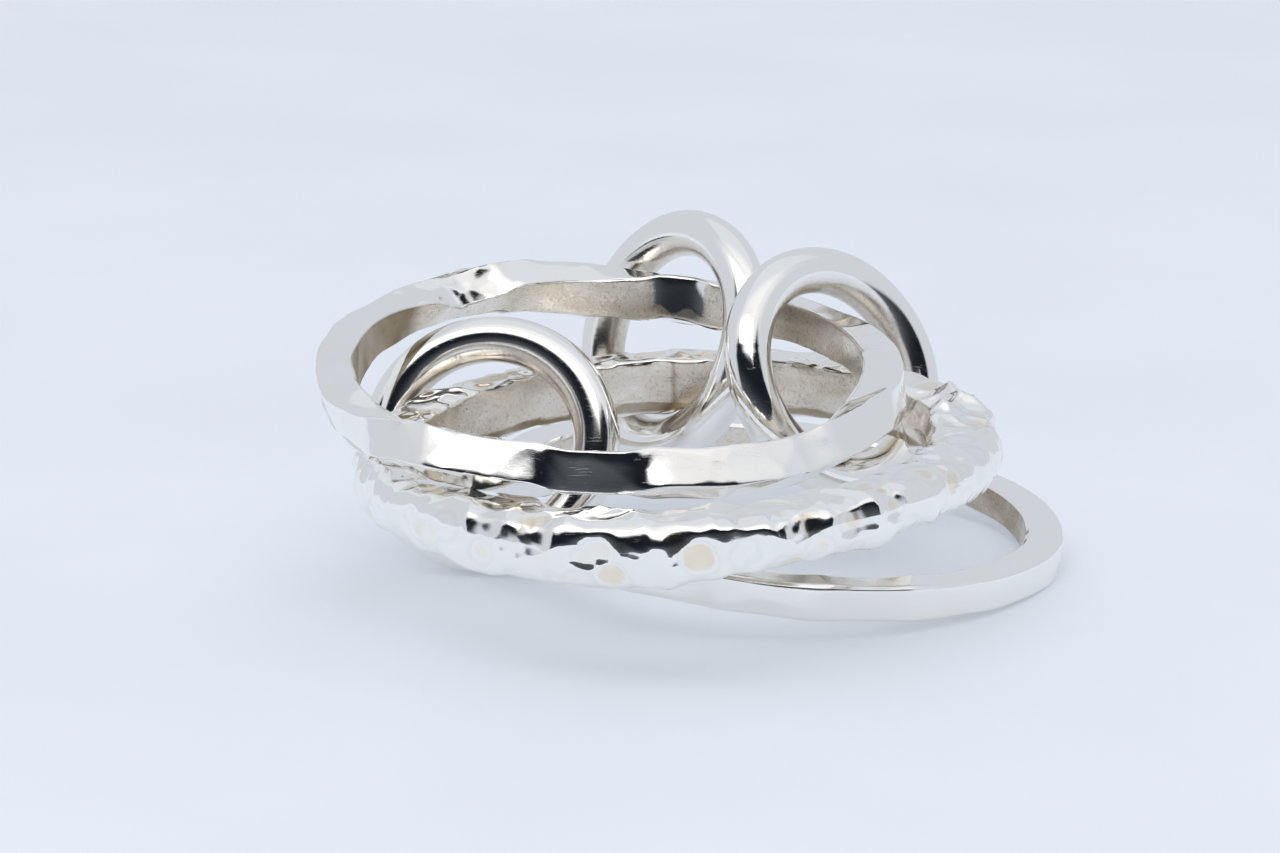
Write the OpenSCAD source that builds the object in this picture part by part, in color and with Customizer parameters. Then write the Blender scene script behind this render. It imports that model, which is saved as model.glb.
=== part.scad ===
// Rolling ring: three silver bands held together by three round connectors, lying at rest on a flat
// surface. +Z is up, +Y is away from the viewer, and the origin is under the middle of the heap.

/* [Bands] */
// Inside diameter of every band
finger_d = 17.3; // [16.8:0.1:17.8]
// Radial thickness of the top band, before its form table
top_t = 1.4; // [1.2:0.1:1.5]
// Height of the top band, before its form table
top_h = 1.56; // [1.3:0.02:1.6]
// Radial thickness of the hammered band
hammered_t = 2.1; // [1.8:0.1:2.2]
// Height of the hammered band
hammered_h = 2; // [1.7:0.1:2]
// Radial thickness of the plain square band
square_t = 1.38; // [1.2:0.02:1.4]
// Height of the plain square band
square_h = 1.32; // [1.1:0.02:1.4]

/* [Hammer marks] */
// Depth of a round mark on the hammered band
mark_depth = 0.16; // [0:0.01:0.2]
// Width of a round mark on the hammered band
mark_w = 1.35; // [0.9:0.05:1.6]
// Depth of the broad soft flats on the top band
flat_depth = 0.14; // [0:0.01:0.2]
// Width of a flat on the top band
flat_w = 3.4; // [2:0.1:5]
// Depth of the faint flats on the square band
faint_depth = 0.05; // [0:0.01:0.1]

/* [Connectors] */
// Radius of a connector, from its centre to the middle of its wire
connector_r = 3.72; // [3.66:0.02:3.78]
// Diameter of a connector's round wire
wire_d = 1.6; // [1.4:0.05:1.6]

/* [Fineness] */
// Sections round the hammered band
hammered_sections = 180; // [96:12:192]
// Sections round the top band
top_sections = 108; // [72:12:144]
// Sections round the square band
square_sections = 84; // [60:12:120]

/* [Hidden] */

silver = [0.85, 0.86, 0.87];
bright_silver = [0.93, 0.93, 0.94];
finger_r = finger_d / 2;

// Where each piece lies: its centre, then how far its left side and its back side are turned up
TOP_AT = [-3.06, -0.1, 7.4];
TOP_LEFT_UP = 0.7;
TOP_BACK_UP = 4.6;
HAMMERED_AT = [-0.64, -2.46, 5.17];
HAMMERED_LEFT_UP = -2.2;
HAMMERED_BACK_UP = 1.8;
SQUARE_AT = [2.77, 3.2, 1.713];
SQUARE_LEFT_UP = 6.2;
SQUARE_BACK_UP = 1.4;

// Where each connector stands: its centre, the way it faces from the front, and its lean. The left
// one stands on the surface.
LEFT_FACES = -9.5;
LEFT_LEAN = 27.6;
LEFT_AT = [-6.99, 3.43, connector_r * cos(LEFT_LEAN) + wire_d / 2];
RIGHT_AT = [4.84, 4.42, 6.35];
RIGHT_FACES = 41.7;
RIGHT_LEAN = 26.8;
BACK_AT = [-0.67, 7.88, 6.81];
BACK_FACES = -51.9;
BACK_LEAN = 19.9;

// Uneven form of the bands: place round the band, thickness, height and lift as parts of its
// thickness and height, lean, how far the top of the outer wall is turned in, in degrees, and out,
// how far the section is moved away from the finger, as a part of the thickness. Place 0 is the
// right end, 90 the back, 180 the left end and 270 the front.
TOP_FORM = [
    // [place, thickness, height, lift, lean, out]
    [0, 1.05, 1, 0, 0, 0],
    [45, 0.95, 1.05, -0.03, -6, 0],
    [65, 0.9, 1.2, -0.1, -8, 0],
    [70, 0.9, 1.2, -0.1, -26, 0],
    [76, 0.95, 1.17, -0.08, -26, 0],
    [82, 0.98, 1.15, -0.07, 0, 0],
    [92, 1.05, 1.06, 0, 8, 0],
    [100, 1.1, 1.03, 0.07, 12, 0],
    [110, 1.15, 1, 0.17, 20, 0],
    [118, 1.15, 0.9, 0.18, 34, 0],
    [125, 1.12, 0.75, 0.16, 46, 0],
    [134, 1.02, 0.88, 0.12, 18, 0],
    [148, 0.98, 1, 0, 0, -0.1],
    [175, 1.1, 1.08, -0.04, -6, -0.32],
    [190, 1.08, 1.05, -0.02, -12, -0.3],
    [204, 1, 1, -0.04, -18, -0.14],
    [215, 0.98, 1, -0.09, -6, -0.05],
    [222, 1, 1.03, -0.08, 20, 0],
    [229, 1, 1.07, -0.06, 38, 0],
    [243, 1, 1.08, -0.07, 42, 0],
    [257, 1, 1.1, -0.1, 42, 0],
    [263, 1, 1.06, -0.08, 17, 0],
    [274, 1, 1.05, -0.1, 19, 0],
    [281, 1, 1.05, -0.14, 40, 0],
    [296, 1, 1.05, -0.26, 38, 0],
    [312, 1.05, 1.05, -0.3, 38, 0],
    [326, 1.12, 1.05, -0.2, 34, 0],
    [337, 1.15, 1, -0.08, 24, 0],
    [346, 1.2, 1, 0, 6, 0],
    [360, 1.05, 1, 0, 0, 0]
];
HAMMERED_FORM = [
    // [place, thickness, height, lift, lean, out]
    [0, 1.05, 1, 0, 0, 0],
    [16, 1.12, 1, 0, 0, 0],
    [40, 1, 1, 0, 0, 0],
    [215, 1, 1, 0, 0, 0],
    [238, 1, 1.12, -0.06, 0, 0],
    [258, 1, 1.16, -0.1, 0, 0],
    [276, 1, 1.05, -0.03, 0, 0],
    [300, 0.96, 0.94, 0.03, 0, 0],
    [322, 0.9, 0.86, 0.07, 0, 0],
    [345, 1, 0.95, 0.02, 0, 0],
    [360, 1.05, 1, 0, 0, 0]
];
SQUARE_FORM = [
    // [place, thickness, height, lift, lean, out]
    [0, 1, 1, 0, 0, 0],
    [360, 1, 1, 0, 0, 0]
];
PLACE = 0;
THICKNESS = 1;
HEIGHT = 2;
LIFT = 3;
LEAN = 4;
OUT = 5;

// Rows of marks round a section, as angles from its outer side: 90 is the top, 180 the inner wall
MARK_ROWS = [-112, -62, -16, 30, 80];
FLAT_ROWS = [-60, 0, 60, 120];

// Steady scatter from 0 to 1 for the mark in one row and column
function scatter(row, column, which) =
    let (wave = sin(row * 127.1 + column * 311.7 + which * 74.7) * 437.58)
    wave - floor(wave);

// Shortest way between two angles
function turn_between(a, b) =
    let (turn = (a - b) % 360)
    turn > 180 ? turn - 360 : turn < -180 ? turn + 360 : turn;

// Height left by one round mark of the given width, at some distance from its centre
function mark_cut(distance, width) = max(0, 1 - pow(2 * distance / width, 2));

// Deepest cut, from 0 to 1, that a field of staggered marks makes at one point of a band.
// place is the angle round the finger, side the angle round the section.
function field_cut(place, side, rows, width, mid_r, section_r) =
    let (columns = round(2 * PI * mid_r / (width * 0.86)))
    max([for (row = [0 : len(rows) - 1], step = [-1 : 1])
        let (
            stagger = (row % 2) / 2,
            column = round(place * columns / 360 - stagger) + step,
            home = (column + columns) % columns,
            mark_place = (column + stagger + 0.34 * (scatter(row, home, 1) - 0.5)) * 360 / columns,
            mark_side = rows[row] + 16 * (scatter(row, home, 2) - 0.5),
            along = turn_between(place, mark_place) * PI / 180 * mid_r,
            across = turn_between(side, mark_side) * PI / 180 * section_r
        )
        mark_cut(sqrt(along * along + across * across), width)]);

// One value of a form table, eased between its rows
function form(rows, place, column, row = 0) =
    place <= rows[row + 1][PLACE]
        ? let (
            part = (place - rows[row][PLACE]) / (rows[row + 1][PLACE] - rows[row][PLACE]),
            eased = (1 - cos(180 * part)) / 2
        )
        rows[row][column] * (1 - eased) + rows[row + 1][column] * eased
        : form(rows, place, column, row + 1);

// Rounded square of half width 1 at one angle; a higher squareness has tighter corners
function rounded(angle, squareness) =
    let (c = cos(angle), s = sin(angle), power = 2 / squareness)
    [sign(c) * pow(abs(c), power), sign(s) * pow(abs(s), power)];

// Closed band through rings of points: sections[i] is the list of points of section i
module band_through(sections) {
    count = len(sections);
    around = len(sections[0]);
    points = [for (section = sections) for (point = section) point];
    faces = [
        for (i = [0 : count - 1], j = [0 : around - 1])
        let (
            a = i * around + j,
            b = i * around + (j + 1) % around,
            c = ((i + 1) % count) * around + (j + 1) % around,
            d = ((i + 1) % count) * around + j
        )
        each [[a, b, c], [a, c, d]]
    ];
    polyhedron(points = points, faces = faces, convexity = 8);
}

// Sections of an uneven band: thickness t, height h and squareness are those of its plain section,
// which has so many points around. The marks are cut in rows, to a depth, each of one width.
function band_sections(rows, count, around, t, h, squareness, depth, mark_rows, width) =
    let (mid_r = finger_r + t / 2)
    [for (i = [0 : count - 1])
        let (
            place = i * 360 / count,
            own_t = t * form(rows, place, THICKNESS),
            own_h = h * form(rows, place, HEIGHT),
            lean = form(rows, place, LEAN)
        )
        [for (j = [0 : around - 1])
            let (
                side = (j + 0.5) * 360 / around,
                edge = rounded(side, squareness),
                cut = depth * field_cut(place, side, mark_rows, width, mid_r, h * 0.6),
                out = edge[0] * (own_t / 2 - cut),
                up = edge[1] * (own_h / 2 - cut),
                r = finger_r + own_t / 2 + t * form(rows, place, OUT)
                    + out * cos(lean) - up * sin(lean)
            )
            [
                r * cos(place),
                r * sin(place),
                h * form(rows, place, LIFT) + out * sin(lean) + up * cos(lean)
            ]]];

// Lays a band down at its place
module lay(at, left_up, back_up) {
    translate(at)
        rotate([back_up, 0, 0])
        rotate([0, left_up, 0])
        children();
}

// Uneven, softly flattened band that lies on top
module top_band() {
    color(silver)
        lay(TOP_AT, TOP_LEFT_UP, TOP_BACK_UP)
        band_through(band_sections(TOP_FORM, top_sections, 16, top_t, top_h, 4.5,
                                   flat_depth, FLAT_ROWS, flat_w));
}

// Middle band, its outside covered with round hammer marks and its inner wall left plain
module hammered_band() {
    color(bright_silver)
        lay(HAMMERED_AT, HAMMERED_LEFT_UP, HAMMERED_BACK_UP)
        band_through(band_sections(HAMMERED_FORM, hammered_sections, 20, hammered_t, hammered_h, 3.4,
                                   mark_depth, MARK_ROWS, mark_w));
}

// Lowest band, of plain square wire with faint flats
module square_band() {
    color(silver)
        lay(SQUARE_AT, SQUARE_LEFT_UP, SQUARE_BACK_UP)
        band_through(band_sections(SQUARE_FORM, square_sections, 12, square_t, square_h, 7,
                                   faint_depth, FLAT_ROWS, flat_w));
}

// Closed round link of round wire, standing at its place
module connector(at, faces, lean) {
    color(silver)
        translate(at)
        rotate([90 - lean, 0, faces])
        rotate_extrude($fn = 96)
        translate([connector_r, 0])
        circle(d = wire_d, $fn = 48);
}

// Link round the hammered and the square band
module left_connector() {
    connector(LEFT_AT, LEFT_FACES, LEFT_LEAN);
}

// Link round the top and the hammered band, in front
module right_connector() {
    connector(RIGHT_AT, RIGHT_FACES, RIGHT_LEAN);
}

// Link round the top and the hammered band, at the back
module back_connector() {
    connector(BACK_AT, BACK_FACES, BACK_LEAN);
}

top_band();
hammered_band();
square_band();
left_connector();
right_connector();
back_connector();
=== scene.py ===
"""Rolling ring: three silver bands and the three round-wire connectors that hold them together.

The heap lies on a pale floor as it would by itself. Each band is spun from its section on a
mandrel at the origin, shaped section by section, smoothed, beaten, and then laid down at its
place. Lengths are in metres and angles in degrees, unless a name says otherwise.
"""

import logging
import math
from dataclasses import dataclass
from typing import ClassVar

import bmesh
import bpy
import numpy as np
from mathutils import Matrix, Vector


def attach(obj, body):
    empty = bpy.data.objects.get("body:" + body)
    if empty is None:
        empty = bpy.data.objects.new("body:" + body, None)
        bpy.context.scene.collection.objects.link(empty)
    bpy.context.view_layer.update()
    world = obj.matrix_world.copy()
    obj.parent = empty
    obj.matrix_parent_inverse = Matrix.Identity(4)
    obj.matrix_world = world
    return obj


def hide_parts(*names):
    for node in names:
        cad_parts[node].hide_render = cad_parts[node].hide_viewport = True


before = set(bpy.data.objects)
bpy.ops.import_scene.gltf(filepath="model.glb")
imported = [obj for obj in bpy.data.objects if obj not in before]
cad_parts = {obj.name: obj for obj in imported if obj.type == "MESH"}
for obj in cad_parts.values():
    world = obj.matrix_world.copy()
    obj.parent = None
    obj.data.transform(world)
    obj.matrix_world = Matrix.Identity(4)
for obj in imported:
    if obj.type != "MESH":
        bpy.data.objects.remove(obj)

logging.basicConfig(level=logging.INFO, format="%(message)s")
log = logging.getLogger("rolling_ring")

MM = 0.001
INNER_R = 8.65 * MM
RING_R = 3.72 * MM
WIRE_R = 0.8 * MM
SAME = 0.01 * MM
WELD = 0.001 * MM
INNER_WALL = "inner_wall"
HOLLOW = "hollow"
# Painted shade on the bands' inner walls, and an even brown tone on the wires.
SHADE_AND_TONE = "shade_and_tone"
MAP_NAME = "round_the_finger"

Colour = tuple[float, float, float]
Place = tuple[float, float, float]
Span = tuple[float, float]


def deselect_all() -> None:
    """Leave nothing selected, so that the next operator acts on one piece alone."""
    if bpy.context.object and bpy.context.object.mode != "OBJECT":
        bpy.ops.object.mode_set(mode="OBJECT")
    bpy.ops.object.select_all(action="DESELECT")


def take(ob: bpy.types.Object) -> None:
    """Select one piece alone and make it active."""
    deselect_all()
    ob.select_set(True)
    bpy.context.view_layer.objects.active = ob


def points_of(ob: bpy.types.Object) -> np.ndarray:
    """The piece's vertices as rows of x, y and z."""
    flat = np.empty(len(ob.data.vertices) * 3)
    ob.data.vertices.foreach_get("co", flat)
    return flat.reshape(-1, 3)


def normals_of(ob: bpy.types.Object) -> np.ndarray:
    """The piece's vertex normals as rows of x, y and z."""
    flat = np.empty(len(ob.data.vertices) * 3)
    ob.data.vertex_normals.foreach_get("vector", flat)
    return flat.reshape(-1, 3)


def ease(low: float, high: float, values: np.ndarray) -> np.ndarray:
    """Smooth step from 0 at low to 1 at high.

    Args:
        low: value at which the step starts.
        high: value at which it ends.
        values: the values to ease.

    Returns:
        The eased values, from 0 to 1.
    """
    part = np.clip((values - low) / (high - low), 0, 1)
    return part * part * (3 - 2 * part)


def write_attribute(ob: bpy.types.Object, name: str, values: np.ndarray) -> None:
    """Keep one number a vertex on the mesh, for the materials to read.

    Args:
        ob: the piece.
        name: name of the attribute.
        values: one value for each vertex.
    """
    attribute = ob.data.attributes.get(name) or ob.data.attributes.new(name, "FLOAT", "POINT")
    attribute.data.foreach_set("value", values.astype(np.float32))


def read_attribute(ob: bpy.types.Object, name: str) -> np.ndarray:
    """Read back one number a vertex."""
    values = np.empty(len(ob.data.vertices), dtype=np.float32)
    ob.data.attributes[name].data.foreach_get("value", values)
    return values.astype(float)


def apply_modifiers(ob: bpy.types.Object) -> None:
    """Apply every modifier on the piece, from the first to the last."""
    take(ob)
    for modifier in list(ob.modifiers):
        bpy.ops.object.modifier_apply(modifier=modifier.name)


class Nodes:
    """A small helper that adds and joins the nodes of one node tree."""

    def __init__(self, tree: bpy.types.NodeTree) -> None:
        """Work on one node tree."""
        self.tree = tree

    def add(self, kind: str, **settings: object) -> bpy.types.Node:
        """Add a node.

        Args:
            kind: type of the node without its "ShaderNode" prefix.
            settings: properties of the node, by name.

        Returns:
            The new node.
        """
        node = self.tree.nodes.new(f"ShaderNode{kind}")
        for name, value in settings.items():
            setattr(node, name, value)
        return node

    def join(self, source: bpy.types.NodeSocket, target: bpy.types.NodeSocket) -> None:
        """Join an output to an input."""
        self.tree.links.new(source, target)

    def noise(self, vector: bpy.types.NodeSocket, scale: float, detail: float = 3,
              roughness: float = 0.5) -> bpy.types.NodeSocket:
        """Noise over a vector.

        Args:
            vector: where the noise is read.
            scale: repeats in each unit of the vector.
            detail: number of finer layers.
            roughness: strength of the finer layers.

        Returns:
            The noise, from 0 to 1.
        """
        node = self.add("TexNoise")
        node.inputs["Scale"].default_value = scale
        node.inputs["Detail"].default_value = detail
        node.inputs["Roughness"].default_value = roughness
        self.join(vector, node.inputs["Vector"])
        return node.outputs["Fac"]

    def ramp(self, source: bpy.types.NodeSocket, low: float, high: float, start: float = 0,
             end: float = 1) -> bpy.types.NodeSocket:
        """Map low..high smoothly to start..end.

        Args:
            source: the value to map.
            low: value that gives start.
            high: value that gives end.
            start: result at low.
            end: result at high.

        Returns:
            The mapped value.
        """
        node = self.add("MapRange", interpolation_type="SMOOTHSTEP")
        self.join(source, node.inputs["Value"])
        limits = {"From Min": low, "From Max": high, "To Min": start, "To Max": end}
        for name, value in limits.items():
            node.inputs[name].default_value = value
        return node.outputs["Result"]

    def maths(self, operation: str, a: object, b: object) -> bpy.types.NodeSocket:
        """Join two values, each a socket or a number, by one operation.

        Args:
            operation: Blender's name of the operation, such as MULTIPLY.
            a: first value.
            b: second value.

        Returns:
            The result.
        """
        node = self.add("Math", operation=operation)
        for socket, value in zip(node.inputs, (a, b)):
            if isinstance(value, bpy.types.NodeSocket):
                self.join(value, socket)
            else:
                socket.default_value = value
        return node.outputs[0]

    def mix(self, share: bpy.types.NodeSocket, a: object, b: object) -> bpy.types.NodeSocket:
        """Mix two colours, each a socket or a colour.

        Args:
            share: share of the second colour.
            a: first colour.
            b: second colour.

        Returns:
            The mixed colour.
        """
        node = self.add("Mix", data_type="RGBA")
        self.join(share, node.inputs["Factor"])
        for name, value in (("A", a), ("B", b)):
            socket = next(s for s in node.inputs if s.name == name and s.type == "RGBA")
            if isinstance(value, bpy.types.NodeSocket):
                self.join(value, socket)
            else:
                socket.default_value = (*value, 1)
        return next(s for s in node.outputs if s.type == "RGBA")


class SharedEffects:
    """Node groups that every silver finish uses: hairline scratches and satin smudges."""

    scratch_turns: ClassVar[tuple[Place, ...]] = ((20, 0, 35), (75, 30, 0), (0, 65, 110))
    scratch_scale: ClassVar[Place] = (450, 9000, 9000)
    scratch_edge: ClassVar[float] = 0.74
    scratch_spread: ClassVar[float] = 0.12
    scratch_noise: ClassVar[Span] = (1, 1)
    smudge_scale: ClassVar[Place] = (0.5, 2.2, 1)
    smudge_noise: ClassVar[Place] = (1, 4, 0.65)

    def __init__(self) -> None:
        """Build each group once."""
        self.scratches = self._scratches()
        self.smudges = self._smudges()
        self.made: dict[str, bpy.types.Material] = {}

    def material(self, finish: "SilverFinish") -> bpy.types.Material:
        """The material of a finish, made when it is first asked for."""
        if finish.slot not in self.made:
            self.made[finish.slot] = finish.build(self)
        return self.made[finish.slot]

    def _group(self, name: str, inputs: dict[str, tuple[str, float]]) -> tuple[Nodes, dict, dict]:
        """Start a group with the given inputs and one Value output.

        Args:
            name: the group's name.
            inputs: socket type and default of each input, by its name.

        Returns:
            The group's helper, its input sockets and its output sockets.
        """
        tree = bpy.data.node_groups.new(name, "ShaderNodeTree")
        for label, (kind, default) in inputs.items():
            socket = tree.interface.new_socket(label, in_out="INPUT", socket_type=kind)
            if kind == "NodeSocketFloat":
                socket.default_value = default
        tree.interface.new_socket("Value", in_out="OUTPUT", socket_type="NodeSocketFloat")
        start = tree.nodes.new("NodeGroupInput")
        end = tree.nodes.new("NodeGroupOutput")
        return Nodes(tree), start.outputs, end.inputs

    def _scratches(self) -> bpy.types.NodeTree:
        """Sparse hairlines that run three ways across a polished surface."""
        nodes, given, out = self._group("HairlineScratches", {
            "Vector": ("NodeSocketVector", 0),
            "Density": ("NodeSocketFloat", 0.5),
        })
        total: bpy.types.NodeSocket | None = None
        for turn in self.scratch_turns:
            mapping = nodes.add("Mapping")
            nodes.join(given["Vector"], mapping.inputs["Vector"])
            mapping.inputs["Rotation"].default_value = [math.radians(a) for a in turn]
            mapping.inputs["Scale"].default_value = self.scratch_scale
            line = nodes.noise(mapping.outputs["Vector"], *self.scratch_noise)
            spread = nodes.maths("MULTIPLY", given["Density"], self.scratch_spread)
            edge = nodes.maths("SUBTRACT", self.scratch_edge, spread)
            cut = nodes.maths("GREATER_THAN", line, edge)
            total = cut if total is None else nodes.maths("MAXIMUM", total, cut)
        nodes.join(total, out["Value"])
        return nodes.tree

    def _smudges(self) -> bpy.types.NodeTree:
        """Smudges drawn out along an inner wall, read from a map in millimetres."""
        nodes, given, out = self._group("SatinSmudges", {"Vector": ("NodeSocketVector", 0)})
        mapping = nodes.add("Mapping")
        nodes.join(given["Vector"], mapping.inputs["Vector"])
        mapping.inputs["Scale"].default_value = self.smudge_scale
        nodes.join(nodes.noise(mapping.outputs["Vector"], *self.smudge_noise), out["Value"])
        return nodes.tree


@dataclass(frozen=True)
class SilverFinish:
    """Silver with a polished outside and a satin inside.

    Each noise is its repeats in a metre, its finer layers and their strength. Each ramp is the
    lowest and highest value that it reads, and then what they become. Names that end in um or
    mm are lengths in that unit.
    """

    blotch_noise: ClassVar[tuple[float, ...]] = (700, 4)
    ripple_noise: ClassVar[tuple[float, ...]] = (1300, 2)
    grain_noise: ClassVar[tuple[float, ...]] = (14000, 3, 0.7)
    satin_grain_noise: ClassVar[tuple[float, ...]] = (9000, 3, 0.6)
    cloud_noise: ClassVar[tuple[float, ...]] = (190, 4)
    scratch_um: ClassVar[float] = 0.3
    polish_grain_um: ClassVar[float] = 1.2
    satin_blotches: ClassVar[tuple[float, ...]] = (0.45, 0.8, 0, 0.25)
    rough_blotches: ClassVar[Span] = (0.3, 0.75)
    least_rough: ClassVar[float] = 0.6
    most_rough: ClassVar[float] = 1.8
    smudge_share: ClassVar[float] = 0.25
    shade_and_tone_share: ClassVar[float] = 0.3
    oxide_grains: ClassVar[tuple[float, ...]] = (0.5, 0.7, 0, 0.14)
    low_edge_mm: ClassVar[Span] = (-0.25, -0.45)
    low_edge_smudge: ClassVar[float] = 0.5
    brown_ramp: ClassVar[Span] = (0.5, 1.1)
    satin_patches: ClassVar[tuple[float, ...]] = (0.25, 0.7, 0.7, 1)
    satin_dullness: ClassVar[tuple[float, ...]] = (0.4, 0.9, 0.6, 1.5)
    stained_hollows: ClassVar[Span] = (0.7, 1.0)
    stain_blotches: ClassVar[tuple[float, ...]] = (0.35, 0.65, 0.2, 1)
    rim_starts: ClassVar[Span] = (0.1, 0.35)
    rim_ends: ClassVar[tuple[float, ...]] = (0.4, 0.6, 1, 0)

    slot: str
    polished: Colour = (0.965, 0.95, 0.915)
    satin: Colour = (0.97, 0.90, 0.81)
    brown_and_shade: Colour = (0.31, 0.235, 0.135)
    tarnish: Colour = (0.90, 0.76, 0.56)
    polish: float = 0.07
    satin_roughness: float = 0.2
    grain_um: float = 12.0
    low_edge_shade: float = 0.0
    scratch_density: float = 0.5
    ripple_um: float = 4.0
    shade: Colour = (0.50, 0.50, 0.51)
    stain: float = 0.1
    rim_shade: float = 0.0

    def build(self, effects: SharedEffects) -> bpy.types.Material:
        """Make the material.

        Args:
            effects: the shared node groups.

        Returns:
            The new material.
        """
        material = bpy.data.materials.new(self.slot)
        material.use_nodes = True
        nodes = Nodes(material.node_tree)
        shader = next(n for n in material.node_tree.nodes if n.type == "BSDF_PRINCIPLED")
        shader.inputs["Metallic"].default_value = 1.0
        where = nodes.add("TexCoord").outputs["Object"]
        blotches = nodes.noise(where, *self.blotch_noise)
        scratches = self._group(nodes, effects.scratches, where)
        scratches.node.inputs["Density"].default_value = self.scratch_density
        ripple = nodes.noise(where, *self.ripple_noise)
        grain = nodes.noise(where, *self.grain_noise)
        colour = nodes.mix(nodes.ramp(blotches, *self.satin_blotches), self.polished, self.satin)
        rough = nodes.ramp(blotches, *self.rough_blotches, self.polish * self.least_rough,
                           self.polish * self.most_rough)
        height = nodes.maths("MULTIPLY", ripple, self.ripple_um)
        cuts = nodes.maths("MULTIPLY", scratches, self.scratch_um)
        height = nodes.maths("SUBTRACT", height, cuts)
        fine = nodes.maths("MULTIPLY", grain, self.polish_grain_um)
        height = nodes.maths("ADD", height, fine)
        colour, rough, height = self._inside(nodes, effects, blotches, (colour, rough, height))
        nodes.join(colour, shader.inputs["Base Color"])
        nodes.join(rough, shader.inputs["Roughness"])
        bump = nodes.add("Bump")
        bump.inputs["Distance"].default_value = MM / 1000
        nodes.join(height, bump.inputs["Height"])
        nodes.join(bump.outputs["Normal"], shader.inputs["Normal"])
        return material

    def _inside(self, nodes: Nodes, effects: SharedEffects, blotches: bpy.types.NodeSocket,
                outside: tuple[bpy.types.NodeSocket, ...]) -> tuple[bpy.types.NodeSocket, ...]:
        """Make the inner wall satin, brown it with random tone, smudges and painted shade where
        it mirrors dark parts and towards its lower edge, paint shade on the rims of the marks and
        stain the deepest of them.

        Args:
            nodes: the material's helper.
            effects: the shared node groups.
            blotches: broad noise.
            outside: colour, roughness and height of the polished outside.

        Returns:
            Colour, roughness and height of the whole band.
        """
        colour, rough, height = outside
        inner = nodes.add("Attribute", attribute_name=INNER_WALL).outputs["Fac"]
        hollow = nodes.add("Attribute", attribute_name=HOLLOW).outputs["Fac"]
        along = nodes.add("UVMap", uv_map=MAP_NAME).outputs["UV"]
        smudges = self._group(nodes, effects.smudges, along)
        where = nodes.add("TexCoord").outputs["Object"]
        shade_and_tone = nodes.add("Attribute", attribute_name=SHADE_AND_TONE).outputs["Fac"]
        grains = nodes.noise(where, *self.satin_grain_noise)
        clouds = nodes.noise(where, *self.cloud_noise)
        # This mask sums random tone, smudged wear and painted shade; it sets how brown the satin
        # is.
        variation = nodes.maths("ADD", clouds, nodes.maths("MULTIPLY", smudges, self.smudge_share))
        # Painted shade: this attribute browns the stretches of inner wall that mirror dark parts
        # of the heap; on the wires it is an even tone.
        variation = nodes.maths("ADD", variation, nodes.maths("MULTIPLY", shade_and_tone, self.shade_and_tone_share))
        variation = nodes.maths("ADD", variation, nodes.ramp(grains, *self.oxide_grains))
        map_mm = nodes.add("SeparateXYZ")
        nodes.join(along, map_mm.inputs["Vector"])
        smudged = nodes.maths("MULTIPLY", smudges, self.low_edge_smudge)
        across = nodes.maths("ADD", map_mm.outputs["Y"], smudged)
        # Painted shade: the inner wall grows browner towards its lower edge, where it meets the
        # band below.
        variation = nodes.maths("ADD", variation, nodes.ramp(across, *self.low_edge_mm, 0, self.low_edge_shade))
        satin = nodes.mix(nodes.ramp(variation, *self.brown_ramp), self.satin, self.brown_and_shade)
        patches = nodes.maths("MULTIPLY", inner, nodes.ramp(blotches, *self.satin_patches))
        colour = nodes.mix(patches, colour, satin)
        dull = nodes.maths("MULTIPLY", inner, self.satin_roughness)
        dull = nodes.maths("MULTIPLY", dull, nodes.ramp(variation, *self.satin_dullness))
        rough = nodes.maths("ADD", rough, dull)
        stain = nodes.maths("MULTIPLY", nodes.ramp(hollow, *self.stained_hollows), self.stain)
        stain = nodes.maths("MULTIPLY", stain, nodes.ramp(blotches, *self.stain_blotches))
        colour = nodes.mix(stain, colour, self.tarnish)
        # Painted shade: the sloping rims of the marks are mixed towards the grey shade colour.
        ends = nodes.ramp(hollow, *self.rim_ends)
        rim = nodes.maths("MULTIPLY", nodes.ramp(hollow, *self.rim_starts), ends)
        rim = nodes.maths("MULTIPLY", rim, nodes.maths("SUBTRACT", self.rim_shade, inner))
        colour = nodes.mix(nodes.maths("MAXIMUM", rim, 0), colour, self.shade)
        granular = nodes.maths("MULTIPLY", nodes.maths("MULTIPLY", grains, self.grain_um), inner)
        return colour, rough, nodes.maths("ADD", height, granular)

    def _group(self, nodes: Nodes, tree: bpy.types.NodeTree,
               vector: bpy.types.NodeSocket) -> bpy.types.NodeSocket:
        """Place a shared group that is read at one vector.

        Args:
            nodes: the material's helper.
            tree: the shared group.
            vector: where it is read.

        Returns:
            The group's value.
        """
        node = nodes.add("Group", node_tree=tree)
        nodes.join(vector, node.inputs["Vector"])
        return node.outputs["Value"]


@dataclass(frozen=True)
class Form:
    """The form of a band at one place round it, as parts of its thickness and height.

    The place is 0 at the right end, 90 at the back, 180 at the left end and 270 in front. The
    lean is how far the top of the outer wall is turned in towards the finger, in degrees. The
    lift is a part of the height, and out, away from the finger, a part of the thickness.
    """

    place: float
    thickness: float = 1.0
    height: float = 1.0
    lift: float = 0.0
    lean: float = 0.0
    out: float = 0.0


PLAIN = (Form(0), Form(360))


def form_at(forms: tuple[Form, ...], place: float) -> Form:
    """The form at one place, eased between the rows of a table.

    Args:
        forms: rows in the order of their places, from 0 to 360.
        place: the place round the band.

    Returns:
        The form there.
    """
    after = next(i for i, row in enumerate(forms) if place <= row.place and i)
    low, high = forms[after - 1], forms[after]
    part = (place - low.place) / (high.place - low.place)
    eased = (1 - math.cos(math.pi * part)) / 2
    columns = ("thickness", "height", "lift", "lean", "out")
    values = {c: getattr(low, c) * (1 - eased) + getattr(high, c) * eased for c in columns}
    return Form(place, **values)


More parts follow.
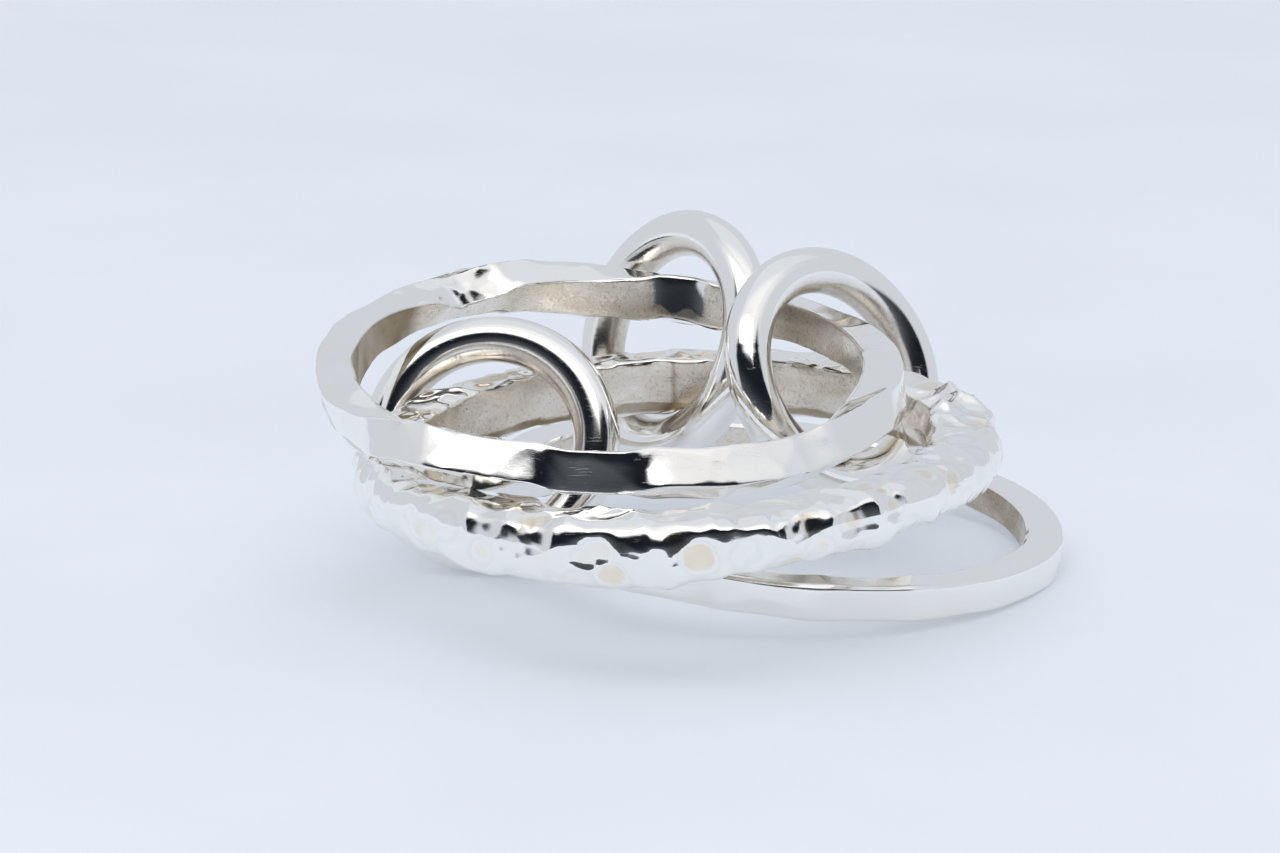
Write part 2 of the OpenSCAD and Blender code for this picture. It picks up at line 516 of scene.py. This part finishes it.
@dataclass(frozen=True)
class Marks:
    """A field of dents that a hammer leaves: how wide and deep, and the level that stays put.

    At level 1 the ridges between the dents keep their height, and at 0 their deepest points do.
    With a rim, the dents are round, reach as far as the rim and leave a smooth ground between
    them. The field covers the band all round, or only the places within reach of its centre,
    and it is weaker on the inner wall.
    """

    width: float
    depth: float
    level: float = 0.7
    flat: bool = False
    rim: float = 0.0
    inside: float = 0.12
    centre: float = 0.0
    reach: float = 360.0
    fade: float = 6.0

    def strengths(self, inner: np.ndarray, places: np.ndarray) -> np.ndarray:
        """How strongly the field acts on each point.

        Args:
            inner: 1 on the inner wall and 0 elsewhere.
            places: the places round the band, in degrees.

        Returns:
            The strengths, from 0 to 1.
        """
        away = np.abs((places - self.centre + 180) % 360 - 180)
        near = 1 - ease(self.reach, self.reach + self.fade, away)
        return (1 - inner * (1 - self.inside)) * near


@dataclass(frozen=True)
class Stretch:
    """A stretch of a band, by its place round the band, and how strongly it is marked."""

    centre: float
    reach: float
    strength: float = 1.0
    fade: float = 2.0

    def strengths(self, places: np.ndarray) -> np.ndarray:
        """How strongly each place is marked, from 0 to 1."""
        away = np.abs((places - self.centre + 180) % 360 - 180)
        return self.strength * (1 - ease(self.reach, self.reach + self.fade, away))


@dataclass
class Band:
    """A closed band, spun from one section, shaped, beaten and laid down.

    Its left and back ends are raised by angles. The steps are sections round the band, and the
    cuts divide each wall of a section. Its painted shades brown stretches of the inner wall with
    painted shade, where it mirrors dark parts of the heap, and facets polish the upper part of
    it, down to a wavy edge.
    """

    wall_edge: ClassVar[Span] = (0.4, 0.95)
    facet_edge: ClassVar[Span] = (-0.35 * MM, -0.2 * MM)
    facet_wave: ClassVar[float] = 0.12 * MM
    facet_waves: ClassVar[float] = 50
    least_mark: ClassVar[float] = 0.01 * MM

    node: str
    finish: SilverFinish
    thickness: float
    height: float
    at: Place
    left_up: float
    back_up: float
    marks: tuple[Marks, ...]
    corner: float = 0.22 * MM
    inner_corner: float = 0.15 * MM
    rounding: int = 2
    steps: int = 120
    cuts: int = 3
    smooth_levels: int = 2
    forms: tuple[Form, ...] = PLAIN
    # Stretches of the inner wall browned with painted shade, where it mirrors dark parts.
    painted_shades: tuple[Stretch, ...] = ()
    facets: tuple[Stretch, ...] = ()

    def spin_section(self) -> bpy.types.Object:
        """Spin a rectangle with cut corners round the finger's axis.

        Returns:
            The band, still plain, round the origin.
        """
        deselect_all()
        middle = (INNER_R + self.thickness / 2, 0, 0)
        bpy.ops.mesh.primitive_plane_add(size=1, location=middle, rotation=(math.pi / 2, 0, 0))
        ob = bpy.context.object
        ob.name = f"{self.node}_silver"
        bpy.ops.transform.resize(value=(self.thickness, 1, self.height))
        bpy.ops.object.transform_apply(location=True, rotation=True, scale=True)
        bpy.ops.object.mode_set(mode="EDIT")
        for inner, offset in ((True, self.inner_corner), (False, self.corner)):
            self._select_corners(ob, inner)
            bpy.ops.mesh.bevel(offset=offset, segments=self.rounding, affect="VERTICES")
        bpy.ops.mesh.select_all(action="SELECT")
        bpy.ops.mesh.delete(type="ONLY_FACE")
        self._cut_walls(ob)
        bpy.ops.mesh.select_all(action="SELECT")
        bpy.ops.mesh.spin(steps=self.steps, angle=2 * math.pi, center=(0, 0, 0), axis=(0, 0, 1))
        bpy.ops.mesh.select_all(action="SELECT")
        bpy.ops.mesh.remove_doubles(threshold=WELD)
        bpy.ops.mesh.normals_make_consistent(inside=False)
        bpy.ops.object.mode_set(mode="OBJECT")
        points = points_of(ob)
        on_wall = np.hypot(points[:, 0], points[:, 1]) < INNER_R + SAME
        write_attribute(ob, INNER_WALL, on_wall)
        return ob

    def _select_corners(self, ob: bpy.types.Object, inner: bool) -> None:
        """Select the section's two inner or two outer corners."""
        bpy.ops.mesh.select_all(action="DESELECT")
        bpy.ops.mesh.select_mode(type="VERT")
        mesh = bmesh.from_edit_mesh(ob.data)
        edge = INNER_R if inner else INNER_R + self.thickness
        for vertex in mesh.verts:
            vertex.select = abs(vertex.co.x - edge) < SAME
        bmesh.update_edit_mesh(ob.data)

    def _cut_walls(self, ob: bpy.types.Object) -> None:
        """Cut the four long edges of the section, so that the walls can be dented."""
        bpy.ops.mesh.select_mode(type="EDGE")
        mesh = bmesh.from_edit_mesh(ob.data)
        for edge in mesh.edges:
            edge.select = edge.calc_length() > max(self.corner, self.inner_corner)
        bmesh.update_edit_mesh(ob.data)
        bpy.ops.mesh.subdivide(number_cuts=self.cuts)
        bpy.ops.mesh.select_mode(type="VERT")

    def shape(self, ob: bpy.types.Object) -> None:
        """Give each section its own thickness, height, lift, lean and place outwards.

        Args:
            ob: the spun band.
        """
        if self.forms == PLAIN:
            return
        points = points_of(ob)
        turn = np.degrees(np.arctan2(points[:, 1], points[:, 0])) % 360
        number = np.rint(turn * self.steps / 360).astype(int) % self.steps
        take(ob)
        bpy.ops.object.mode_set(mode="EDIT")
        bpy.ops.mesh.select_mode(type="VERT")
        for i in range(self.steps):
            here = form_at(self.forms, i * 360 / self.steps)
            turned = Matrix.Rotation(-math.radians(here.place), 4, "Z")
            bpy.ops.mesh.select_all(action="DESELECT")
            mesh = bmesh.from_edit_mesh(ob.data)
            mesh.verts.ensure_lookup_table()
            section = [mesh.verts[k] for k in np.flatnonzero(number == i)]
            for vertex in section:
                vertex.select = True
                vertex.co = turned @ vertex.co
            bmesh.update_edit_mesh(ob.data)
            self._shape_section(here)
            mesh = bmesh.from_edit_mesh(ob.data)
            for vertex in mesh.verts:
                if vertex.select:
                    vertex.co = turned.inverted() @ vertex.co
            bmesh.update_edit_mesh(ob.data)
        bpy.ops.object.mode_set(mode="OBJECT")

    def _shape_section(self, here: Form) -> None:
        """Shape the selected section, which is turned to lie on the X axis.

        Args:
            here: its form.
        """
        bpy.ops.transform.resize(value=(here.thickness, 1, here.height),
                                 center_override=(INNER_R, 0, 0))
        if here.lean:
            middle = INNER_R + here.thickness * self.thickness / 2
            bpy.ops.transform.rotate(value=math.radians(here.lean), orient_axis="Y",
                                     center_override=(middle, 0, 0))
        bpy.ops.transform.translate(value=(here.out * self.thickness, 0, here.lift * self.height))

    def smooth(self, ob: bpy.types.Object) -> None:
        """Round the band off and make it fine enough to be beaten."""
        finer = ob.modifiers.new("smooth", "SUBSURF")
        finer.levels = finer.render_levels = self.smooth_levels
        apply_modifiers(ob)

    def beat(self, ob: bpy.types.Object) -> np.ndarray:
        """Dent the walls with each field of marks.

        Args:
            ob: the smooth band.

        Returns:
            How deep each vertex lies in a mark, from 0 to 1.
        """
        before, normals = points_of(ob), normals_of(ob)
        places = np.degrees(np.arctan2(before[:, 1], before[:, 0])) % 360
        inner = ease(*self.wall_edge, read_attribute(ob, INNER_WALL))
        # Painted shade: the stretches brown the inner wall where it mirrors dark parts of the
        # heap.
        write_attribute(ob, SHADE_AND_TONE, sum((o.strengths(places) for o in self.painted_shades), 0 * places))
        wavy = self.facet_wave * np.sin(np.radians(places * self.facet_waves))
        upper = ease(*self.facet_edge, before[:, 2] + wavy)
        polished = upper * sum((f.strengths(places) for f in self.facets), 0 * places)
        write_attribute(ob, INNER_WALL, inner * (1 - polished))
        deepest = np.full(len(before), self.least_mark)
        for i, marks in enumerate(self.marks):
            strengths = marks.strengths(inner, places)
            self._add_marks(ob, f"{self.node}_marks_{i}", marks, strengths)
            deepest = np.maximum(deepest, strengths * marks.depth * 2 * marks.level)
        apply_modifiers(ob)
        moved = -np.einsum("ij,ij->i", points_of(ob) - before, normals)
        return np.clip(moved / deepest, 0, 1)

    def _add_marks(self, ob: bpy.types.Object, name: str, marks: Marks,
                   strengths: np.ndarray) -> None:
        """Add one field of marks as a modifier.

        Args:
            ob: the band.
            name: name of the field's texture and vertex group.
            marks: the field.
            strengths: how strongly it acts on each vertex.
        """
        group = ob.vertex_groups.new(name=name)
        for index in np.flatnonzero(strengths > 0):
            group.add([int(index)], float(strengths[index]), "REPLACE")
        dents = bpy.data.textures.new(name, "VORONOI")
        dents.distance_metric = "DISTANCE" if marks.flat else "DISTANCE_SQUARED"
        dents.noise_scale = marks.width
        if marks.rim:
            dents.use_color_ramp = True
            dents.color_ramp.interpolation = "EASE"
            dents.color_ramp.elements[0].color = (0, 0, 0, 1)
            dents.color_ramp.elements[1].color = (1, 1, 1, 1)
            dents.color_ramp.elements[1].position = marks.rim
        beaten = ob.modifiers.new(name, "DISPLACE")
        beaten.texture = dents
        beaten.texture_coords = "LOCAL"
        beaten.vertex_group = name
        beaten.mid_level = marks.level
        beaten.strength = marks.depth * 2

    def write_map(self, ob: bpy.types.Object) -> None:
        """Lay a map in millimetres over the band: along it, and across its section."""
        points = points_of(ob)
        corners = np.empty(len(ob.data.loops), dtype=int)
        ob.data.loops.foreach_get("vertex_index", corners)
        turn = np.arctan2(points[:, 1], points[:, 0])[corners]
        starts = np.empty(len(ob.data.polygons), dtype=int)
        ob.data.polygons.foreach_get("loop_start", starts)
        first = np.repeat(turn[starts], np.diff(np.append(starts, len(corners))))
        turn = first + (turn - first + math.pi) % (2 * math.pi) - math.pi
        reach = np.hypot(points[:, 0], points[:, 1]) - INNER_R
        across = (points[:, 2] + reach)[corners]
        uv = ob.data.uv_layers.new(name=MAP_NAME)
        flat = np.column_stack((turn * INNER_R, across)).ravel() / MM
        uv.data.foreach_set("uv", flat.astype(np.float32))

    def lay_down(self, ob: bpy.types.Object) -> None:
        """Turn the band and put it where it lies, with its place in its mesh."""
        back = Matrix.Rotation(math.radians(self.back_up), 4, "X")
        left = Matrix.Rotation(math.radians(self.left_up), 4, "Y")
        ob.matrix_world = Matrix.Translation(Vector(self.at)) @ back @ left
        take(ob)
        bpy.ops.object.transform_apply(location=True, rotation=True, scale=True)

    def build(self, effects: SharedEffects) -> bpy.types.Object:
        """Make, dress and place the band.

        Args:
            effects: the shared node groups.

        Returns:
            The finished band.
        """
        ob = self.spin_section()
        self.shape(ob)
        self.smooth(ob)
        hollow = self.beat(ob)
        write_attribute(ob, HOLLOW, hollow)
        self.write_map(ob)
        self.lay_down(ob)
        finish_piece(ob, self.node, self.finish, effects)
        return ob


def finish_piece(ob: bpy.types.Object, node: str, finish: SilverFinish,
                 effects: SharedEffects) -> None:
    """Shade a piece, give it its finish and let it stand for its solid.

    Args:
        ob: the piece, where it lies.
        node: the solid that it stands for.
        finish: its finish.
        effects: the shared node groups.
    """
    take(ob)
    bpy.ops.object.shade_smooth()
    ob.data.materials.clear()
    ob.data.materials.append(effects.material(finish))
    ob.vertex_groups.clear()
    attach(ob, "root")
    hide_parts(node)


@dataclass
class Connector:
    """A closed ring of round wire, with the faint joint where it was soldered shut.

    It faces sideways and leans back by angles. The wire's unevenness is a wave and a depth.
    """

    dull_edge: ClassVar[Span] = (0.3, 0.85)
    shade_and_tone: ClassVar[float] = 0.5

    node: str
    finish: SilverFinish
    at: Place
    faces: float
    lean: float
    joint_at: float
    ring_r: float = RING_R
    wire_r: float = WIRE_R
    joint_depth: float = 0.004 * MM
    wave: float = 2.4 * MM
    wave_depth: float = 0.03 * MM
    dull: float = 0.7
    round_ring: int = 240
    round_wire: int = 64

    def build(self, effects: SharedEffects) -> bpy.types.Object:
        """Make, dress and place the connector.

        Args:
            effects: the shared node groups.

        Returns:
            The finished connector.
        """
        deselect_all()
        bpy.ops.mesh.primitive_torus_add(major_radius=self.ring_r, minor_radius=self.wire_r,
                                         major_segments=self.round_ring,
                                         minor_segments=self.round_wire)
        ob = bpy.context.object
        ob.name = f"{self.node}_silver"
        self._close_joint(ob)
        self._wear(ob)
        self._dull_inside(ob)
        turned = Matrix.Rotation(math.radians(self.faces), 4, "Z")
        leaned = Matrix.Rotation(math.radians(90 - self.lean), 4, "X")
        ob.matrix_world = Matrix.Translation(Vector(self.at)) @ turned @ leaned
        take(ob)
        bpy.ops.object.transform_apply(location=True, rotation=True, scale=True)
        finish_piece(ob, self.node, self.finish, effects)
        return ob

    def _close_joint(self, ob: bpy.types.Object) -> None:
        """Sink one section of the wire a little, where its ends meet."""
        turn = math.radians(self.joint_at)
        centre = Vector((math.cos(turn), math.sin(turn), 0)) * self.ring_r
        bpy.ops.object.mode_set(mode="EDIT")
        bpy.ops.mesh.select_mode(type="VERT")
        mesh = bmesh.from_edit_mesh(ob.data)
        half_step = math.pi / self.round_ring
        for vertex in mesh.verts:
            away = math.atan2(vertex.co.y, vertex.co.x) - turn
            away = abs((away + math.pi) % (2 * math.pi) - math.pi)
            vertex.select = away < half_step
        mesh.select_flush_mode()
        bmesh.update_edit_mesh(ob.data)
        share = 1 - self.joint_depth / self.wire_r
        bpy.ops.transform.resize(value=(share, share, share), center_override=centre)
        bpy.ops.object.mode_set(mode="OBJECT")

    def _wear(self, ob: bpy.types.Object) -> None:
        """Make the wire a little uneven, as drawn and bent wire is."""
        uneven = bpy.data.textures.new(f"{self.node}_uneven", "CLOUDS")
        uneven.noise_scale = self.wave
        uneven.noise_depth = 0
        variation = ob.modifiers.new("uneven", "DISPLACE")
        variation.texture = uneven
        variation.texture_coords = "LOCAL"
        variation.mid_level = 0.5
        variation.strength = self.wave_depth
        apply_modifiers(ob)

    def _dull_inside(self, ob: bpy.types.Object) -> None:
        """Leave the side of the wire that faces the ring's middle less polished."""
        points, normals = points_of(ob), normals_of(ob)
        reach = np.hypot(points[:, 0], points[:, 1])
        inwards = -(points[:, 0] * normals[:, 0] + points[:, 1] * normals[:, 1]) / reach
        write_attribute(ob, INNER_WALL, self.dull * ease(*self.dull_edge, inwards))
        # An even brown tone over the wire, in the attribute that carries the bands' painted
        # shade.
        write_attribute(ob, SHADE_AND_TONE, np.full(len(points), self.shade_and_tone))
        write_attribute(ob, HOLLOW, np.zeros(len(points)))
        ob.data.uv_layers[0].name = MAP_NAME


@dataclass(frozen=True)
class Softbox:
    """A soft light: where it hangs, its width and height, its watts, and if silver mirrors it."""

    name: str
    place: Place
    size: Span
    power: float
    mirrored: bool = True


@dataclass
class Studio:
    """The floor, the light and the camera.

    The tent is pale cloth all round, with a dark room behind the camera and a lamp above it. The
    spans of the room and the lamp are read on a direction from the heap: x is to the side, y is
    away from the camera and z is up.
    """

    target: Place = (-1.82 * MM, 0.32 * MM, 5.53 * MM)
    distance: float = 200 * MM
    elevation: float = 14.5
    focal_mm: float = 166.5
    sensor_mm: float = 36.0
    nearest: float = 0.01
    floor_width: float = 3.0
    floor_cells: int = 8
    floor_roughness: float = 0.75
    mottle_noise: Span = (60, 5)
    mottle_edge: Span = (0.3, 0.7)
    mottle_shade: float = 0.97
    floor_colour: Colour = (0.75, 0.79, 0.85)
    floor_glow: float = 0.24
    tent: Colour = (0.68, 0.72, 0.79)
    above: Colour = (0.94, 0.95, 0.98)
    tent_strength: float = 0.93
    dark: Colour = (0.010, 0.013, 0.019)
    dim: Colour = (0.11, 0.12, 0.14)
    room_sides: Span = (0.80, 0.90)
    room_top: Span = (0.68, 0.75)
    room_front: Span = (-0.35, -0.2)
    room_fade: Span = (-0.1, 0.55)
    lamp_height: Span = (0.5, 0.8)
    lamp_front: Span = (-0.15, 0.2)
    softboxes: tuple[Softbox, ...] = (
        Softbox("key", (-0.05, -0.15, 0.30), (0.40, 0.14), 0.14),
        Softbox("overhead", (0.05, 0.1, 0.42), (0.5, 0.4), 0.06),
        Softbox("fill", (0.0, -0.45, 0.16), (0.7, 0.3), 1.0, mirrored=False),
    )

    def build_camera(self) -> None:
        """Look down at the heap from the front."""
        rise = math.radians(self.elevation)
        away = Vector((0, -math.cos(rise), math.sin(rise))) * self.distance
        data = bpy.data.cameras.new("camera")
        data.sensor_width = self.sensor_mm
        data.lens = self.focal_mm
        data.clip_start = self.nearest
        camera = bpy.data.objects.new("camera", data)
        bpy.context.collection.objects.link(camera)
        camera.location = Vector(self.target) + away
        camera.rotation_euler = (-away).to_track_quat("-Z", "Y").to_euler()
        bpy.context.scene.camera = camera

    def build_floor(self) -> None:
        """Lay a pale floor under the heap."""
        deselect_all()
        bpy.ops.mesh.primitive_grid_add(x_subdivisions=self.floor_cells,
                                        y_subdivisions=self.floor_cells, size=self.floor_width)
        floor = bpy.context.object
        floor.name = "floor"
        material = bpy.data.materials.new("pale_paper")
        material.use_nodes = True
        nodes = Nodes(material.node_tree)
        shader = next(n for n in material.node_tree.nodes if n.type == "BSDF_PRINCIPLED")
        shader.inputs["Roughness"].default_value = self.floor_roughness
        shader.inputs["Emission Strength"].default_value = self.floor_glow
        where = nodes.add("TexCoord").outputs["Object"]
        shade = nodes.ramp(nodes.noise(where, *self.mottle_noise), *self.mottle_edge)
        deeper = tuple(self.mottle_shade * c for c in self.floor_colour)
        paper = nodes.mix(shade, deeper, self.floor_colour)
        nodes.join(paper, shader.inputs["Base Color"])
        nodes.join(paper, shader.inputs["Emission Color"])
        floor.data.materials.append(material)

    def build_light(self) -> None:
        """Light the heap from a pale tent that is open, and dark, round the camera."""
        world = bpy.data.worlds.new("tent")
        bpy.context.scene.world = world
        world.use_nodes = True
        nodes = Nodes(world.node_tree)
        background = next(n for n in world.node_tree.nodes if n.type == "BACKGROUND")
        split = nodes.add("SeparateXYZ")
        nodes.join(nodes.add("TexCoord").outputs["Generated"], split.inputs["Vector"])
        x, y, z = split.outputs
        side = nodes.maths("ABSOLUTE", x, 0)
        narrow = nodes.ramp(side, *self.room_sides, 1, 0)
        low = nodes.ramp(z, *self.room_top, 1, 0)
        front = nodes.ramp(y, *self.room_front, 1, 0)
        hole = nodes.maths("MULTIPLY", nodes.maths("MULTIPLY", narrow, low), front)
        room = nodes.mix(nodes.ramp(z, *self.room_fade, 1, 0), self.dark, self.dim)
        lit_front = nodes.ramp(y, *self.lamp_front, 1, 0)
        lamp = nodes.maths("MULTIPLY", nodes.ramp(z, *self.lamp_height), lit_front)
        cloth = nodes.mix(lamp, self.tent, self.above)
        nodes.join(nodes.mix(hole, cloth, room), background.inputs["Color"])
        background.inputs["Strength"].default_value = self.tent_strength
        for box in self.softboxes:
            self._hang(box)

    def _hang(self, box: Softbox) -> None:
        """Hang one soft light, so that it looks at the heap.

        Args:
            box: the light.
        """
        data = bpy.data.lights.new(box.name, "AREA")
        data.shape = "RECTANGLE"
        data.size, data.size_y = box.size
        data.energy = box.power
        light = bpy.data.objects.new(box.name, data)
        bpy.context.collection.objects.link(light)
        light.location = box.place
        towards = Vector(self.target) - Vector(box.place)
        light.rotation_euler = towards.to_track_quat("-Z", "Y").to_euler()
        light.visible_glossy = box.mirrored


def silver_bands() -> list[Band]:
    """The three bands, from the top one down."""
    polished = SilverFinish("polished_silver")
    hammered = SilverFinish("hammered_silver", polish=0.08, scratch_density=0.35, stain=0.7,
                            rim_shade=0.08, low_edge_shade=0.6, satin_roughness=0.14, grain_um=6)
    top = Band(
        "top_band", polished, 1.4 * MM, 1.56 * MM,
        at=(-3.06 * MM, -0.10 * MM, 7.40 * MM), left_up=0.7, back_up=4.6,
        marks=(
            Marks(3.4 * MM, 0.15 * MM, 0.9, flat=True, inside=0.5),
            Marks(2.0 * MM, 0.04 * MM, 0.5, inside=0.6),
            Marks(0.95 * MM, 0.08 * MM, 0.5, inside=0.6, centre=118, reach=7),
        ),
        corner=0.15 * MM, steps=144,
        painted_shades=(Stretch(162, 16, 2.2, 12),),
        facets=(Stretch(72.5, 5.0),),
        forms=(
            Form(0, 1.05),
            Form(45, 0.95, 1.05, -0.03, -6),
            Form(65, 0.9, 1.2, -0.1, -8),
            Form(70, 0.9, 1.2, -0.1, -26),
            Form(76, 0.95, 1.17, -0.08, -26),
            Form(82, 0.98, 1.15, -0.07),
            Form(92, 1.05, 1.06, 0, 8),
            Form(100, 1.1, 1.03, 0.07, 12),
            Form(109, 1.15, 1.0, 0.17, 22),
            Form(116, 1.15, 0.9, 0.18, 42),
            Form(125, 1.12, 0.75, 0.16, 46),
            Form(134, 1.02, 0.88, 0.12, 18),
            Form(148, 0.98, 1.0, 0, 0, -0.1),
            Form(175, 1.1, 1.08, -0.04, -6, -0.32),
            Form(190, 1.08, 1.05, -0.02, -12, -0.3),
            Form(204, 1.0, 1.0, -0.04, -18, -0.14),
            Form(215, 0.98, 1.0, -0.09, -6, -0.05),
            Form(222, 1.0, 1.03, -0.08, 20),
            Form(229, 1.0, 1.07, -0.06, 38),
            Form(243, 1.0, 1.08, -0.07, 42),
            Form(257, 1.0, 1.1, -0.1, 42),
            Form(263, 1.0, 1.06, -0.08, 17),
            Form(274, 1.0, 1.05, -0.1, 19),
            Form(281, 1.0, 1.05, -0.14, 42),
            Form(296, 1.0, 1.05, -0.26, 42),
            Form(312, 1.05, 1.05, -0.3, 40),
            Form(326, 1.12, 1.05, -0.2, 34),
            Form(337, 1.15, 1.0, -0.08, 24),
            Form(346, 1.2, 1.0, 0, 6),
            Form(360, 1.05),
        ),
    )
    middle = Band(
        "hammered_band", hammered, 2.1 * MM, 2.0 * MM,
        at=(-0.64 * MM, -2.46 * MM, 5.17 * MM), left_up=-2.2, back_up=1.8,
        marks=(
            Marks(0.95 * MM, 0.04 * MM, 0.7, rim=0.25, centre=95, reach=122, fade=14),
            Marks(1.4 * MM, 0.03 * MM, 0.65, rim=0.22, centre=275, reach=44, fade=14),
            Marks(0.8 * MM, 0.045 * MM, 0.4, centre=275, reach=34, fade=14),
            Marks(1.3 * MM, 0.12 * MM, 0.4),
            Marks(1.3 * MM, 0.3 * MM, 0.5, inside=0.9, centre=12, reach=12),
            Marks(2.6 * MM, 0.07 * MM, 0.5, inside=1.0, centre=105, reach=60, fade=15),
        ),
        corner=0.62 * MM, steps=180, cuts=4,
        painted_shades=(
            Stretch(35, 15, 0.4, 15),
            Stretch(165, 15, 0.6, 15),
            Stretch(90, 0.3, 0.6, 0.4),
        ),
        forms=(
            Form(0, 1.05),
            Form(16, 1.12),
            Form(40),
            Form(215),
            Form(238, 1.0, 1.12, -0.06),
            Form(258, 1.0, 1.16, -0.1),
            Form(276, 1.0, 1.05, -0.03),
            Form(300, 0.96, 0.94, 0.03),
            Form(322, 0.9, 0.86, 0.07),
            Form(345, 1.0, 0.95, 0.02),
            Form(360, 1.05),
        ),
    )
    square = Band(
        "square_band", polished, 1.38 * MM, 1.32 * MM,
        at=(2.77 * MM, 3.20 * MM, 1.713 * MM), left_up=6.2, back_up=1.4,
        marks=(
            Marks(3.4 * MM, 0.07 * MM, flat=True, inside=0.6),
            Marks(2.4 * MM, 0.05 * MM, 0.5, inside=0.6),
        ),
        corner=0.14 * MM, rounding=1, steps=96,
        painted_shades=(Stretch(15, 35, 0.9, 20),),
    )
    return [top, middle, square]


def wire_connectors() -> list[Connector]:
    """The three connectors."""
    wire = SilverFinish("wire_silver", ripple_um=2.5, satin_roughness=0.16, grain_um=8)
    left_lean = 27.6
    left_height = RING_R * math.cos(math.radians(left_lean)) + WIRE_R
    return [
        Connector("left_connector", wire, (-6.99 * MM, 3.43 * MM, left_height),
                  faces=-9.5, lean=left_lean, joint_at=250),
        Connector("right_connector", wire, (4.84 * MM, 4.42 * MM, 6.35 * MM),
                  faces=41.7, lean=26.8, joint_at=160),
        Connector("back_connector", wire, (-0.67 * MM, 7.88 * MM, 6.81 * MM),
                  faces=-51.9, lean=19.9, joint_at=300),
    ]


def main() -> None:
    """Build the studio and every piece."""
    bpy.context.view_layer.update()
    bpy.context.scene.view_settings.view_transform = "Standard"
    studio = Studio()
    studio.build_camera()
    studio.build_floor()
    studio.build_light()
    effects = SharedEffects()
    for piece in (*silver_bands(), *wire_connectors()):
        built = piece.build(effects)
        log.info("%s: %d faces", built.name, len(built.data.polygons))
    deselect_all()


if __name__ == "__main__":
    main()
